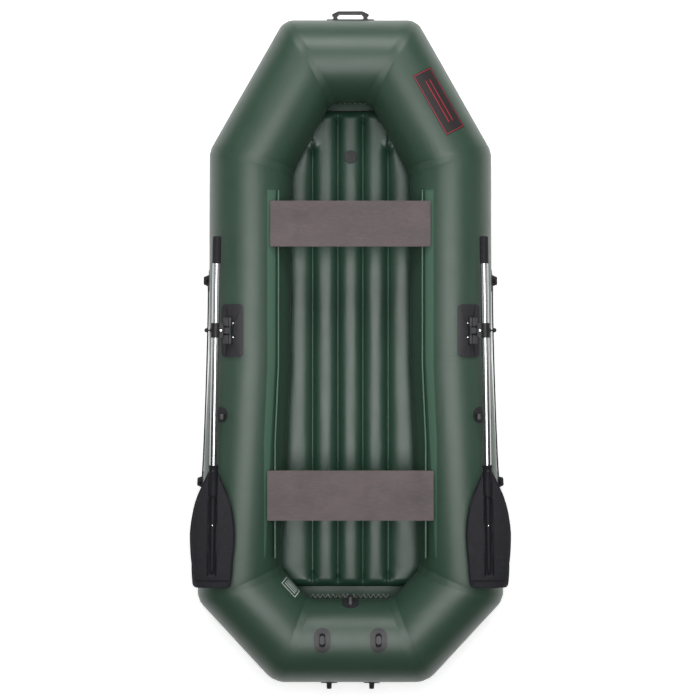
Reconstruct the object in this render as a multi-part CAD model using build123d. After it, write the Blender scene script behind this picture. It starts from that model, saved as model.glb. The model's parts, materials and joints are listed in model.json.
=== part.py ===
from build123d import *
from math import atan2, cos, degrees, hypot, pi, radians, sin, sqrt, tan
import os

# Two-seat inflatable rowing boat with a pair of oars, as separate pieces.
# Units are millimetres. +Y points to the bow, +X to starboard and +Z up. The boat stands
# on z = 0 and the origin is under the middle of the hull.

# ---------------------------------------------------------------- driving dimensions
# Hull: one tube bent round the boat in straight, mitred panels. The plan lists the outer
# corners of the starboard half, from the bow to the stern.
PLAN_STARBOARD = [(282, 1400), (597, 846), (598.5, -29), (650, -1048), (324, -1400)]
PANEL_NAMES = [
    "hull_bow_diagonal_starboard",
    "hull_side_fore_starboard",
    "hull_side_aft_starboard",
    "hull_stern_diagonal_starboard",
    "hull_stern",
    "hull_stern_diagonal_port",
    "hull_side_aft_port",
    "hull_side_fore_port",
    "hull_bow_diagonal_port",
    "hull_bow",
]
BOW_DIAGONAL, SIDE_FORE, SIDE_AFT, STERN_DIAGONAL, STERN = range(5)
STERN_DIAGONAL_PORT = 5
SIDE_FORE_PORT = 7
BOW = 9
SKIN_R = 173.0  # outside of the seam tape, where fittings are glued
TAPE = 0.6
TUBE_R = SKIN_R - TAPE
TUBE_Z = SKIN_R  # height of the tube's axis
FABRIC = 1.0
TAPE_HALF_WIDTH = 20.0
BULKHEAD_GAP = 0.4  # between a bulkhead's rim and the tube's inside

# Room that cutters and raw blanks run past the piece they shape
OVERRUN = 250.0
FAR = 1500.0
SKY_Z = 450.0

# Bottom sheet and the inflated floor mat that lies on it
BOTTOM_Z = 12.0
BOTTOM_T = 1.2
BOTTOM_INSET = SKIN_R + 68.0
MAT_Z = 14.0
MAT_T = 1.2
MAT_INSET = SKIN_R + 148.0
CELL_INSET = MAT_INSET + 6.0
CELL_SEAMS = (54.0, 163.0)  # half-widths of the four seams between the five cells
CELL_OUTER = 330.0
CELL_CROWN_Z = 78.0
CELL_SEAM_Z = 50.0
CELL_BOW_Y = 1047.0
CELL_STERN_Y = -1024.0
WEB_T = 0.8
WEB_GAP = 0.3
WEB_END_GAP = 1.0

# Lacing that ties the mat's hem to the bottom sheet at the bow and at the stern
LACE_D = 3.0
LACE_PITCH = 11.0
LACE_SWING = 9.0
LACE_BOW_Y = 1086.0
LACE_STERN_Y = -1067.0
LACE_BOW_HALF = 112.0
LACE_STERN_HALF = 175.0
STRIP_T = 0.7
STRIP_NEAR = 2.0
STRIP_WIDTH = 32.0
STRIP_MARGIN = 12.0

# Seats and their rails
SEAT_T = 12.0
SEAT_BOTTOM_Z = 322.0
SEAT_FRONT = (662.0, 189.0, 527.0)  # length across the boat, width, middle Y
SEAT_REAR = (687.0, 206.0, -596.0)
SEAT_CORNER_R = 5.0
RAIL_FORE_X = 298.0
RAIL_AFT_X = 312.0
RAIL_PLAN = [(RAIL_FORE_X, 668), (RAIL_FORE_X, -60), (RAIL_AFT_X, -380), (RAIL_AFT_X, -857)]
RAIL_FIN_T = 3.0
RAIL_BEAD_R = 4.0
RAIL_BEAD_Z = 314.0
RAIL_BASE = (-6.0, 46.0)  # inboard and outboard edge, from the rail's line
RAIL_BASE_T = 1.4
RAIL_ROOT_Z = 240.0
SLIDE_CLEARANCE = 0.4
SLIDE_BODY_WIDTH = 17.0
SLIDE_BODY_H = 16.0
SLIDE_FLANGE_WIDTH = 46.0
SLIDE_FLANGE_T = 3.0
SLIDE_END_GAP = 12.0
SCREW_R = 1.75
SCREW_HEAD_R = 3.5
SCREW_HEAD_H = 2.0
SCREW_OFFSET = 16.0
SCREW_END_GAP = 14.0
SCREW_DEPTH = 0.7 * SEAT_T

# Oars, both shown for starboard and mirrored to port
OAR_X = 551.0  # over the oarlock, before the oar is splayed
SPLAY_DEG = 0.9  # the oars open towards the stern, turned about the oarlock's bolt
OAR_Z = 390.0
SHAFT_R = 16.0
SHAFT_WALL = 1.5
SHAFT_BOW_Y = 462.0
SHAFT_STERN_Y = -575.0
GRIP_R = 18.0
GRIP_BOW_Y = 469.0
GRIP_STERN_Y = 358.0
SOCKET_R = 19.0
SOCKET_BOW_Y = -466.0
SOCKET_STERN_Y = -592.0
BLADE_STERN_Y = -968.0
BLADE_T = 4.0
BLADE_OUTLINE = [(20, -492), (55, -570), (79, -643), (92.5, -746), (84, -870), (76, -968)]
BLADE_CORNER_R = 16.0
RIB_STERN_Y = -915.0
RIB_R = 11.0
BUTTON_Y = -488.0
BUTTON_R = 4.5
BUTTON_GAP = 0.3
BUTTON_PROUD = 3.0
BUTTON_ROOT = 10.5  # its foot, above the shaft's axis
BUTTON_EDGE_R = 1.5
GRIP_EDGE_R = 1.5
SOCKET_LIP = (7.0, 2.0)  # length and extra radius of the ring at its mouth

# Oarlock: a glued pad with two lugs, an arm hinged on a pin, and a collar on a bolt
LOCK_Y = 85.0
PAD_X = (441.0, 534.0)
PAD_LENGTH = 219.0
PAD_T = 5.0
PAD_CORNER = 12.0
RIB_H = 6.0
RIB_W = 9.0
HINGE_X = 496.0
HINGE_Z = 352.0
RIB_ROOT_X = HINGE_X + 10.0
LUG_R = 11.0
LUG_OUT_X = 526.0
LUG_GAP = 39.0
LUG_LENGTH = 34.0
LUG_ROOT_Z = 300.0
LUG_OUT_Z = HINGE_Z - 17.0
PIN_R = 4.0
RUNNING = 0.1  # radial clearance of the pins and of the oar in its collar
BARREL_LENGTH = 37.6
LOCK_SCREW_Z = HINGE_Z - 9.0
LOCK_SCREW_R = 2.5
LOCK_SCREW_HEAD_R = 4.5
LOCK_SCREW_END_X = HINGE_X + 5.0
LOCK_SCREW_HEAD_H = 3.5
LOCK_SCREW_YS = (LOCK_Y - 28.0, LOCK_Y + 31.0)
ARM_ROOM_X = HINGE_X - 14.0
ARM_ROOM_Z = 325.0
BOLT_X = 528.0
BOLT_R = 3.0
ARM_EYE_R = 12.0
ARM_TOP_Z = 369.0
ARM_T = 12.0
COLLAR_LENGTH = 60.0
COLLAR_R = 20.5
EAR_INNER_X = 518.0
EAR_Z = (369.5, 402.0)
KNOB_X = 588.0
KNOB_R = 9.0

# Oar rest, a round pad with a low cradle that the shaft swings over
REST_X = 536.0
REST_Y = -268.0
REST_PAD_R = 33.0
REST_PAD_T = 4.0
REST_WIDTH = 22.0
REST_INNER = (518.0, 536.0)
REST_OUTER = (572.0, 580.0)
REST_FLOOR_Z = (334.0, 344.0)
REST_INNER_TOP_Z = 384.0
REST_OUTER_TOP_Z = 351.0

# Eyes: one moulding, used on the stern and for the lifelines
EYE_PAD = (70.0, 100.0, 3.0)  # along the tube, round the tube, thickness
EYE_BASE = (28.0, 76.0)
EYE_TOP = (20.0, 34.0)
EYE_BASE_R = 9.0
EYE_TOP_R = 8.0
EYE_ROOT = 25.0  # how far below the skin the loop's blank starts
EYE_H = 29.0
EYE_HOLE_R = 6.0
EYE_HOLE_H = 16.0
STERN_TOP_EYE_X = 116.0
STERN_TOP_EYE_DEG = 102.0
STERN_FACE_EYE_X = 90.0
STERN_INNER_EYE_DEG = 168.0
LIFELINE_EYE_DEG = -10.0
LIFELINE_FRONT_Y = 300.0
LIFELINE_AFT_Y = -566.0

# Lifeline rope, hanging between its two eyes in an upright plane
ROPE_D = 6.0
ROPE_IN_EYE = (11.5, -15.5)  # along the hole, from its middle to the tip and to where the rope bends away
ROPE_BEND = 8.0  # how far along the boat the rope has gone when it leaves the eye's line
ROPE_LOW_Z = 66.0
ROPE_RISE = 30.0  # with the square of the way from the middle to an eye
ROPE_HOOK = 18.0  # with its sixth power, so the rope turns up at the eyes
ROPE_STATIONS = (1.0, 0.96, 0.9, 0.77, 0.58, 0.38, 0.19)
KNOT_R = 8.5
KNOT_DEPTH = 12.0

# Bow handle
HANDLE_PAD_HALF = 100.0
HANDLE_PAD_DEG = 11.0
HANDLE_PAD_T = 4.0
HANDLE_H = 24.0
HANDLE_HALF = [(0, 29), (47, 29), (58, 16), (50, 3), (80, 3), (68, 14), (80, 26), (52, 40), (0, 40)]

# Valves
FLOOR_VALVE_Y = 838.0
FLOOR_VALVE_R = 28.0
FLOOR_VALVE_H = 5.0
FLOOR_CAP_R = 14.0
FLOOR_WELL_R = 18.0
HULL_VALVE_R = 27.0
HULL_VALVE_CAP_R = 20.0
HULL_VALVE_CAP_Z = 16.0
HULL_VALVE_CAP_H = 11.0
HULL_VALVE_GROOVES = 12
HULL_VALVE_X = 60.0
HULL_VALVE_DEG = -38.0

# Patches
BOW_PATCH_START = 117.0
BOW_PATCH_LENGTH = 284.0
BOW_PATCH_DEG = (51.5, 84.0)
PLATE_START = 133.0
PLATE_LENGTH = 85.0
PLATE_DEG = (147.5, 170.0)
PATCH_T = 0.8


# ---------------------------------------------------------------- helpers
def mirrored_plan(points):
    """The whole closed outline, clockwise from the starboard bow corner."""
    port = [(-x, y) for x, y in reversed(points)]
    return points + port


def inset(outline, distance):
    """A clockwise closed outline moved inward by a distance, corners kept sharp."""
    moved = []
    count = len(outline)
    for i, (x, y) in enumerate(outline):
        before = outline[i - 1]
        after = outline[(i + 1) % count]
        n1 = right_normal(before, (x, y))
        n2 = right_normal((x, y), after)
        stretch = distance / (1 + n1[0] * n2[0] + n1[1] * n2[1])
        moved.append((x + (n1[0] + n2[0]) * stretch, y + (n1[1] + n2[1]) * stretch))
    return moved


def right_normal(a, b):
    """Unit normal to the right of the way from a to b."""
    length = hypot(b[0] - a[0], b[1] - a[1])
    return (b[1] - a[1]) / length, (a[0] - b[0]) / length


PLAN = mirrored_plan(PLAN_STARBOARD)
AXIS_POINTS = inset(PLAN, SKIN_R)


def axis_point(i):
    x, y = AXIS_POINTS[i % len(AXIS_POINTS)]
    return Vector(x, y, TUBE_Z)


def tube_frame(i):
    """Plane at a panel's start: x points outboard, y up and z along the tube's axis."""
    along = (axis_point(i + 1) - axis_point(i)).normalized()
    return Plane(origin=axis_point(i), x_dir=Vector(-along.Y, along.X, 0), z_dir=along)


def mitre_plane(i):
    """Plane that halves the turn at a corner, facing along the tube."""
    before = (axis_point(i) - axis_point(i - 1)).normalized()
    after = (axis_point(i + 1) - axis_point(i)).normalized()
    return Plane(origin=axis_point(i), z_dir=before + after)


def panel_length(i):
    return (axis_point(i + 1) - axis_point(i)).length


def ring(i, inner, outer, start=-OVERRUN, end=None):
    """A straight sleeve on a panel's axis, or a solid rod where inner is zero."""
    end = panel_length(i) + OVERRUN if end is None else end
    place = tube_frame(i) * Pos(0, 0, start)
    upright = (Align.CENTER, Align.CENTER, Align.MIN)
    sleeve = Cylinder(outer, end - start, align=upright)
    if inner > 0:
        sleeve -= Cylinder(inner, end - start, align=upright)
    return place * sleeve


def panel(i, inner, outer):
    """A sleeve cut off at both of its mitres."""
    sleeve = split(ring(i, inner, outer), bisect_by=mitre_plane(i), keep=Keep.TOP)
    return split(sleeve, bisect_by=mitre_plane(i + 1), keep=Keep.BOTTOM)


def tube_patch(i, start, length, from_deg, to_deg, thickness):
    """A rectangular patch bent onto a panel, between two angles above the outboard side."""
    profile = Plane.XZ * Pos(SKIN_R + thickness / 2, start + length / 2) * Rectangle(thickness, length)
    bent = revolve(profile, axis=Axis.Z, revolution_arc=to_deg - from_deg)
    return tube_frame(i) * Rot(0, 0, from_deg) * bent


def station(i, y):
    """Distance along a panel at which its axis reaches a given Y."""
    start = axis_point(i)
    end = axis_point(i + 1)
    return panel_length(i) * (y - start.Y) / (end.Y - start.Y)


def fitting_frame(i, along, elevation):
    """Plane on a panel's axis: z points out through the fitting, x along the tube."""
    frame = tube_frame(i)
    out = frame.x_dir * cos(radians(elevation)) + frame.y_dir * sin(radians(elevation))
    return Plane(origin=frame.origin + frame.z_dir * along, x_dir=frame.z_dir, z_dir=out)


def prism(points, low, high):
    """A plan outline raised from one height to another."""
    return Pos(0, 0, low) * extrude(make_face(Polyline(*points, close=True)), amount=high - low)


def box_between(x, y, z):
    """A box given by its limits along each axis."""
    middle = [(a + b) / 2 for a, b in (x, y, z)]
    return Pos(*middle) * Box(abs(x[1] - x[0]), abs(y[1] - y[0]), abs(z[1] - z[0]))


def rod_y(x, z, radius, start, end):
    """A round rod along Y."""
    return Pos(x, (start + end) / 2, z) * Rot(90, 0, 0) * Cylinder(radius, abs(end - start))


def rod_x(y, z, radius, start, end):
    """A round rod along X."""
    return Pos((start + end) / 2, y, z) * Rot(0, 90, 0) * Cylinder(radius, abs(end - start))


def rod_z(x, y, radius, start, end):
    """A round rod along Z."""
    return Pos(x, y, (start + end) / 2) * Cylinder(radius, abs(end - start))


def to_port(piece):
    return mirror(piece, about=Plane.YZ)


def save(name, piece):
    export_step(piece, f"parts/{name}.step")


def splayed(piece):
    """An oar's piece turned about the oarlock's upright bolt, blade outboard."""
    return piece.rotate(Axis((BOLT_X, LOCK_Y, 0), (0, 0, 1)), SPLAY_DEG)


def save_pair(name, piece):
    """Two nodes, for pieces that move on their own or are bodies of their own."""
    save(name + "_starboard", piece)
    save(name + "_port", to_port(piece))


def save_both(name, pieces):
    """One node that holds the starboard pieces and their port twins."""
    save(name, Compound(pieces + [to_port(piece) for piece in pieces]))


# ---------------------------------------------------------------- hull
def make_hull():
    for i, name in enumerate(PANEL_NAMES):
        save(name, panel(i, TUBE_R - FABRIC, TUBE_R))
    save("seam_tapes", Compound(seam_tapes()))
    save("chamber_bulkheads", Compound([bulkhead(SIDE_AFT), bulkhead(SIDE_FORE_PORT)]))
    outline = inset(PLAN, BOTTOM_INSET)
    save("bottom_sheet", prism(outline, BOTTOM_Z, BOTTOM_Z + BOTTOM_T))


def seam_tapes():
    """Two bands of tape at every joint between panels, one on each panel."""
    bands = []
    for i in range(len(PLAN)):
        before = (i - 1) % len(PLAN)
        joint = mitre_plane(i)
        for sleeve, far_end, side, rest in (
            (i, axis_point(i + 1), Keep.TOP, Keep.BOTTOM),
            (before, axis_point(before), Keep.BOTTOM, Keep.TOP),
        ):
            away = (far_end - joint.origin).normalized() * TAPE_HALF_WIDTH
            limit = Plane(origin=joint.origin + away, z_dir=joint.z_dir)
            half = split(ring(sleeve, TUBE_R, SKIN_R), bisect_by=joint, keep=side)
            bands.append(split(half, bisect_by=limit, keep=rest))
    return bands


def bulkhead(i):
    """The sheet that parts the fore chamber from the aft one, just behind a joint."""
    radius = TUBE_R - FABRIC - BULKHEAD_GAP
    return mitre_plane(i) * Pos(0, 0, FABRIC) * Cylinder(radius, FABRIC)


# ---------------------------------------------------------------- floor
def cell_profile(drop):
    """Crowned outline of the five cells across the boat, lowered by a skin thickness."""
    seams = [-CELL_OUTER, -CELL_SEAMS[1], -CELL_SEAMS[0], *CELL_SEAMS, CELL_OUTER]
    crown = CELL_CROWN_Z - drop
    valley = CELL_SEAM_Z - drop
    base = MAT_Z + MAT_T
    edges = []
    for left, right in zip(seams, seams[1:]):
        middle = (left + right) / 2
        edges.append(ThreePointArc((left, valley), (middle, crown), (right, valley)))
    edges.append(Line((CELL_OUTER, valley), (CELL_OUTER, base)))
    edges.append(Line((CELL_OUTER, base), (-CELL_OUTER, base)))
    edges.append(Line((-CELL_OUTER, base), (-CELL_OUTER, valley)))
    return make_face(Wire(edges))


def cell_plan(margin):
    """Where the cells stand: inside the mat's hem and between the end walls."""
    outline = inset(PLAN, CELL_INSET + margin)
    walls = box_between((-FAR, FAR), (CELL_STERN_Y + margin, CELL_BOW_Y - margin), (0, SKY_Z))
    return prism(outline, 0, SKY_Z) & walls


def cells(drop):
    section = Plane.XZ.offset(-FAR) * cell_profile(drop)
    return extrude(section, amount=2 * FAR) & cell_plan(drop)


def make_floor():
    top = cells(0) - cells(FABRIC)
    well = rod_z(0, FLOOR_VALVE_Y, FLOOR_WELL_R, (MAT_Z + CELL_CROWN_Z) / 2, SKY_Z)
    save("floor_mat_top", top - well)
    save("floor_mat_base", prism(inset(PLAN, MAT_INSET), MAT_Z, MAT_Z + MAT_T))
    webs = []
    for x in (-CELL_SEAMS[1], -CELL_SEAMS[0], *CELL_SEAMS):
        strip = box_between((x - WEB_T / 2, x + WEB_T / 2), (-FAR, FAR),
                            (MAT_Z + MAT_T, CELL_SEAM_Z - FABRIC - WEB_GAP))
        webs.append(strip & cell_plan(FABRIC + WEB_END_GAP))
    save("floor_mat_webs", Compound(webs))
    bow_cord, bow_strip = lacing(LACE_BOW_Y, LACE_BOW_HALF, 1)
    stern_cord, stern_strip = lacing(LACE_STERN_Y, LACE_STERN_HALF, -1)
    save("floor_lacing", Compound([bow_cord, stern_cord]))
    save("lacing_strips", Compound([bow_strip, stern_strip]))


def lacing(y, half_width, outward):
    """A zigzag cord over the mat's hem, and the strip glued to the bottom sheet for it."""
    cord_z = MAT_Z + MAT_T + LACE_D / 2 + 0.1
    count = int(2 * half_width / LACE_PITCH)
    points = []
    for step in range(count + 1):
        x = -half_width + step * LACE_PITCH
        points.append((x, y + LACE_SWING * (1 if step % 2 else -1), cord_z))
    path = FilletPolyline(*points, radius=LACE_D * 0.6)
    start = Plane(origin=path @ 0, z_dir=path % 0)
    cord = sweep(start * Circle(LACE_D / 2), path=path)
    near = y + outward * STRIP_NEAR
    far = near + outward * STRIP_WIDTH
    bottom = BOTTOM_Z + BOTTOM_T
    reach = half_width + STRIP_MARGIN
    strip = box_between((-reach, reach), (min(near, far), max(near, far)), (bottom, bottom + STRIP_T))
    return cord, strip


# ---------------------------------------------------------------- seats and rails
def rail_outline(inboard, outboard):
    """Plan of a strip along the rail's line, between two distances from it."""
    left = [(x + inboard, y) for x, y in RAIL_PLAN]
    right = [(x + outboard, y) for x, y in reversed(RAIL_PLAN)]
    return left + right


def make_rails():
    tubes = side_tube(SKIN_R)
    fin_plan = rail_outline(-RAIL_FIN_T / 2, RAIL_FIN_T / 2)
    fin = prism(fin_plan, RAIL_ROOT_Z, RAIL_BEAD_Z) - tubes
    skins = side_tube(SKIN_R + RAIL_BASE_T)
    base = (prism(rail_outline(*RAIL_BASE), TUBE_Z, SKY_Z) & skins) - tubes
    bead = rail_bead(0, 1) + rail_bead(1, 2) + rail_bead(2, 3)
    for corner in RAIL_PLAN[1:3]:
        bead += Pos(corner[0], corner[1], RAIL_BEAD_Z) * Sphere(RAIL_BEAD_R)
    save_both("seat_rails", [base + fin + bead])


def side_tube(radius):
    """The two starboard side panels as one solid rod, for cutting to their surface."""
    return panel(SIDE_FORE, 0, radius) + panel(SIDE_AFT, 0, radius)


def rail_bead(a, b):
    start = Vector(*RAIL_PLAN[a], RAIL_BEAD_Z)
    end = Vector(*RAIL_PLAN[b], RAIL_BEAD_Z)
    place = Plane(origin=start, z_dir=end - start)
    upright = (Align.CENTER, Align.CENTER, Align.MIN)
    return place * Cylinder(RAIL_BEAD_R, (end - start).length, align=upright)


def seat_slides(rail_x, width, middle_y):
    """A grooved channel under each end of a board, which grips the rail's bead."""
    half = width / 2 - SLIDE_END_GAP
    y = (middle_y - half, middle_y + half)
    top = SEAT_BOTTOM_Z
    flange = box_between((rail_x - SLIDE_FLANGE_WIDTH / 2, rail_x + SLIDE_FLANGE_WIDTH / 2), y,
                         (top - SLIDE_FLANGE_T, top))
    body = box_between((rail_x - SLIDE_BODY_WIDTH / 2, rail_x + SLIDE_BODY_WIDTH / 2), y,
                       (top - SLIDE_BODY_H, top))
    groove = rod_y(rail_x, RAIL_BEAD_Z, RAIL_BEAD_R + SLIDE_CLEARANCE, y[0] - 1, y[1] + 1)
    half_slot = RAIL_FIN_T / 2 + SLIDE_CLEARANCE
    slot = box_between((rail_x - half_slot, rail_x + half_slot), (y[0] - 1, y[1] + 1),
                       (top - SLIDE_BODY_H - 1, RAIL_BEAD_Z))
    channel = flange + body - groove - slot
    for x, screw_y in screw_places(rail_x, width, middle_y):
        channel -= rod_z(x, screw_y, SCREW_R, top - SLIDE_FLANGE_T - 1, top + 1)
    return Compound([channel, to_port(channel)])


def screw_places(rail_x, width, middle_y):
    reach = width / 2 - SLIDE_END_GAP - SCREW_END_GAP
    sides = (rail_x - SCREW_OFFSET, rail_x + SCREW_OFFSET)
    return [(x, middle_y + step * reach) for x in sides for step in (-1, 0, 1)]


def seat_screws(rail_x, width, middle_y):
    screws = []
    under = SEAT_BOTTOM_Z - SLIDE_FLANGE_T
    for x, y in screw_places(rail_x, width, middle_y):
        shank = rod_z(x, y, SCREW_R, under, SEAT_BOTTOM_Z + SCREW_DEPTH)
        head = rod_z(x, y, SCREW_HEAD_R, under - SCREW_HEAD_H, under)
        screws.append(head + shank)
        screws.append(to_port(head + shank))
    return Compound(screws)


def seat_board(rail_x, length, width, middle_y):
    blank = Rectangle(length, width)
    plan = fillet(blank.vertices(), radius=SEAT_CORNER_R)
    board = Pos(0, middle_y, SEAT_BOTTOM_Z) * extrude(plan, amount=SEAT_T)
    for x, y in screw_places(rail_x, width, middle_y):
        hole = rod_z(x, y, SCREW_R, SEAT_BOTTOM_Z - 1, SEAT_BOTTOM_Z + SCREW_DEPTH)
        board -= hole
        board -= to_port(hole)
    return board


def make_seats():
    for name, size, rail_x in (("front", SEAT_FRONT, RAIL_FORE_X), ("rear", SEAT_REAR, RAIL_AFT_X)):
        length, width, middle_y = size
        save(f"seat_{name}_board", seat_board(rail_x, length, width, middle_y))
        save(f"seat_{name}_slides", seat_slides(rail_x, width, middle_y))
        save(f"seat_{name}_screws", seat_screws(rail_x, width, middle_y))


# ---------------------------------------------------------------- oars
def oar_shaft():
    tube = rod_y(OAR_X, OAR_Z, SHAFT_R, SHAFT_STERN_Y, SHAFT_BOW_Y)
    bore = rod_y(OAR_X, OAR_Z, SHAFT_R - SHAFT_WALL, SHAFT_STERN_Y - 1, SHAFT_BOW_Y + 1)
    return tube - bore - button_hole()


def button_hole():
    return rod_z(OAR_X, BUTTON_Y, BUTTON_R + BUTTON_GAP, OAR_Z + SHAFT_R / 2, SKY_Z)


def oar_grip():
    body = rod_y(OAR_X, OAR_Z, GRIP_R, GRIP_STERN_Y, GRIP_BOW_Y)
    ends = body.edges().filter_by(GeomType.CIRCLE)
    body = fillet(ends, radius=GRIP_EDGE_R)
    return body - rod_y(OAR_X, OAR_Z, SHAFT_R, GRIP_STERN_Y - 1, SHAFT_BOW_Y)


def blade_plate():
    """Flat spoon, narrow at the socket, widest in the middle and cut straight at the tip."""
    port_side = Spline(*[(-x, y) for x, y in BLADE_OUTLINE])
    starboard_side = Spline(*BLADE_OUTLINE)
    root = Line(port_side @ 0, starboard_side @ 0)
    tip = Line(port_side @ 1, starboard_side @ 1)
    plan = make_face(Wire([port_side, starboard_side, root, tip]))
    corners = plan.vertices().sort_by(Axis.Y)[:2]
    plan = fillet(corners, radius=BLADE_CORNER_R)
    return Pos(OAR_X, 0, OAR_Z - BLADE_T / 2) * extrude(plan, amount=BLADE_T)


def oar_blade():
    socket = rod_y(OAR_X, OAR_Z, SOCKET_R, SOCKET_STERN_Y, SOCKET_BOW_Y)
    lip_length, lip_rise = SOCKET_LIP
    collar = rod_y(OAR_X, OAR_Z, SOCKET_R + lip_rise, SOCKET_BOW_Y - lip_length, SOCKET_BOW_Y)
    rib = rod_y(OAR_X, OAR_Z, RIB_R, RIB_STERN_Y, SOCKET_STERN_Y + 1)
    rib += Pos(OAR_X, RIB_STERN_Y, OAR_Z) * Sphere(RIB_R)
    bore = rod_y(OAR_X, OAR_Z, SHAFT_R, SHAFT_STERN_Y, SOCKET_BOW_Y + 1)
    return blade_plate() + socket + collar + rib - bore - button_hole()


def snap_button():
    top = OAR_Z + SOCKET_R + BUTTON_PROUD
    pin = rod_z(OAR_X, BUTTON_Y, BUTTON_R, OAR_Z + BUTTON_ROOT, top)
    return fillet(pin.edges().group_by(Axis.Z)[-1], radius=BUTTON_EDGE_R)


def make_oars():
    save_pair("oar_shaft", splayed(oar_shaft()))
    save_pair("oar_grip", splayed(oar_grip()))
    save_pair("oar_blade", splayed(oar_blade()))
    save_pair("oar_snap_button", splayed(snap_button()))


# ---------------------------------------------------------------- oarlocks
def lug(start, end):
    """One of the two lugs that hold the hinge pin, sloping down outboard."""
    outline = [
        (HINGE_X - LUG_R, LUG_ROOT_Z),
        (HINGE_X - LUG_R, HINGE_Z),
        (HINGE_X + LUG_R * 0.5, HINGE_Z + LUG_R * 0.8),
        (LUG_OUT_X, LUG_OUT_Z),
        (LUG_OUT_X, LUG_ROOT_Z),
    ]
    face = make_face(Polyline(*outline, close=True))
    web = extrude(Plane.XZ.offset(-end) * face, amount=end - start)
    return web + rod_y(HINGE_X, HINGE_Z, LUG_R, start, end)


def pad_plan():
    inner, outer = PAD_X
    low = LOCK_Y - PAD_LENGTH / 2
    high = LOCK_Y + PAD_LENGTH / 2
    cut = PAD_CORNER
    return [
        (inner + cut, low), (inner, low + cut), (inner, high - cut), (inner + cut, high),
        (outer - cut, high), (outer, high - cut), (outer, low + cut), (outer - cut, low),
    ]


def rib_plan(corner_x, corner_y):
    """A straight rib from the middle of the lugs out to a corner of the pad."""
    root = Vector(RIB_ROOT_X, LOCK_Y)
    tip = Vector(corner_x, corner_y)
    side = (tip - root).normalized().rotate(Axis.Z, 90) * (RIB_W / 2)
    return [tuple(p)[:2] for p in (root + side, tip + side, tip - side, root - side)]


def oarlock_pad():
    skin = ring(SIDE_FORE, SKIN_R, SKIN_R + PAD_T)
    pad = prism(pad_plan(), TUBE_Z, SKY_Z) & skin
    thick_skin = ring(SIDE_FORE, SKIN_R, SKIN_R + PAD_T + RIB_H)
    reach = PAD_LENGTH / 2 - PAD_CORNER
    for x in (PAD_X[0] + PAD_CORNER, PAD_X[1] - PAD_CORNER):
        for y in (LOCK_Y - reach, LOCK_Y + reach):
            pad += prism(rib_plan(x, y), TUBE_Z, SKY_Z) & thick_skin
    gap = (LOCK_Y - LUG_GAP / 2, LOCK_Y + LUG_GAP / 2)
    pad -= box_between((ARM_ROOM_X, FAR), gap, (ARM_ROOM_Z, SKY_Z))
    hull = ring(SIDE_FORE, 0, SKIN_R)
    for side in (-1, 1):
        near = LOCK_Y + side * LUG_GAP / 2
        far = near + side * LUG_LENGTH
        pad += lug(min(near, far), max(near, far)) - hull
    pad -= rod_y(HINGE_X, HINGE_Z, PIN_R, LOCK_Y - PAD_LENGTH / 2, LOCK_Y + PAD_LENGTH / 2)
    face = HINGE_X - LUG_R
    for y in LOCK_SCREW_YS:
        pad -= rod_x(y, LOCK_SCREW_Z, LOCK_SCREW_R, face - 1, LOCK_SCREW_END_X)
        pad -= rod_x(y, LOCK_SCREW_Z, LOCK_SCREW_HEAD_R + 0.2, face - 4 * LOCK_SCREW_HEAD_H, face)
    return pad


def hinge_pin():
    reach = LUG_GAP / 2 + LUG_LENGTH
    shank = rod_y(HINGE_X, HINGE_Z, PIN_R, LOCK_Y - reach - 6, LOCK_Y + reach + 2)
    head = rod_y(HINGE_X, HINGE_Z, PIN_R + 3, LOCK_Y + reach, LOCK_Y + reach + 4)
    nut = Pos(HINGE_X, LOCK_Y - reach - 3, HINGE_Z) * Rot(90, 0, 0) * extrude(
        RegularPolygon(PIN_R + 3, 6), amount=2.5, both=True)
    return shank + head + nut


def lock_screws():
    screws = []
    face = HINGE_X - LUG_R
    for y in LOCK_SCREW_YS:
        shank = rod_x(y, LOCK_SCREW_Z, LOCK_SCREW_R, face, LOCK_SCREW_END_X)
        head = rod_x(y, LOCK_SCREW_Z, LOCK_SCREW_HEAD_R, face - LOCK_SCREW_HEAD_H, face)
        screws.append(shank + head)
    return screws


def oarlock_arm():
    barrel = rod_y(HINGE_X, HINGE_Z, LUG_R, LOCK_Y - BARREL_LENGTH / 2, LOCK_Y + BARREL_LENGTH / 2)
    half = BARREL_LENGTH / 2 - 3
    low = ARM_TOP_Z - ARM_T
    plate = box_between((HINGE_X, BOLT_X), (LOCK_Y - ARM_EYE_R, LOCK_Y + ARM_EYE_R), (low, ARM_TOP_Z))
    eye = rod_z(BOLT_X, LOCK_Y, ARM_EYE_R, low, ARM_TOP_Z)
    web_face = make_face(Polyline((HINGE_X, HINGE_Z - LUG_R), (HINGE_X, ARM_TOP_Z), (BOLT_X - 6, low),
                                  (HINGE_X + 12, HINGE_Z - 6), close=True))
    web = extrude(Plane.XZ.offset(-LOCK_Y - half) * web_face, amount=2 * half)
    arm = barrel + plate + eye + web
    arm -= rod_y(HINGE_X, HINGE_Z, PIN_R + RUNNING, LOCK_Y - 40, LOCK_Y + 40)
    return arm - rod_z(BOLT_X, LOCK_Y, BOLT_R + RUNNING, low - 1, ARM_TOP_Z + 1)


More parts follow.
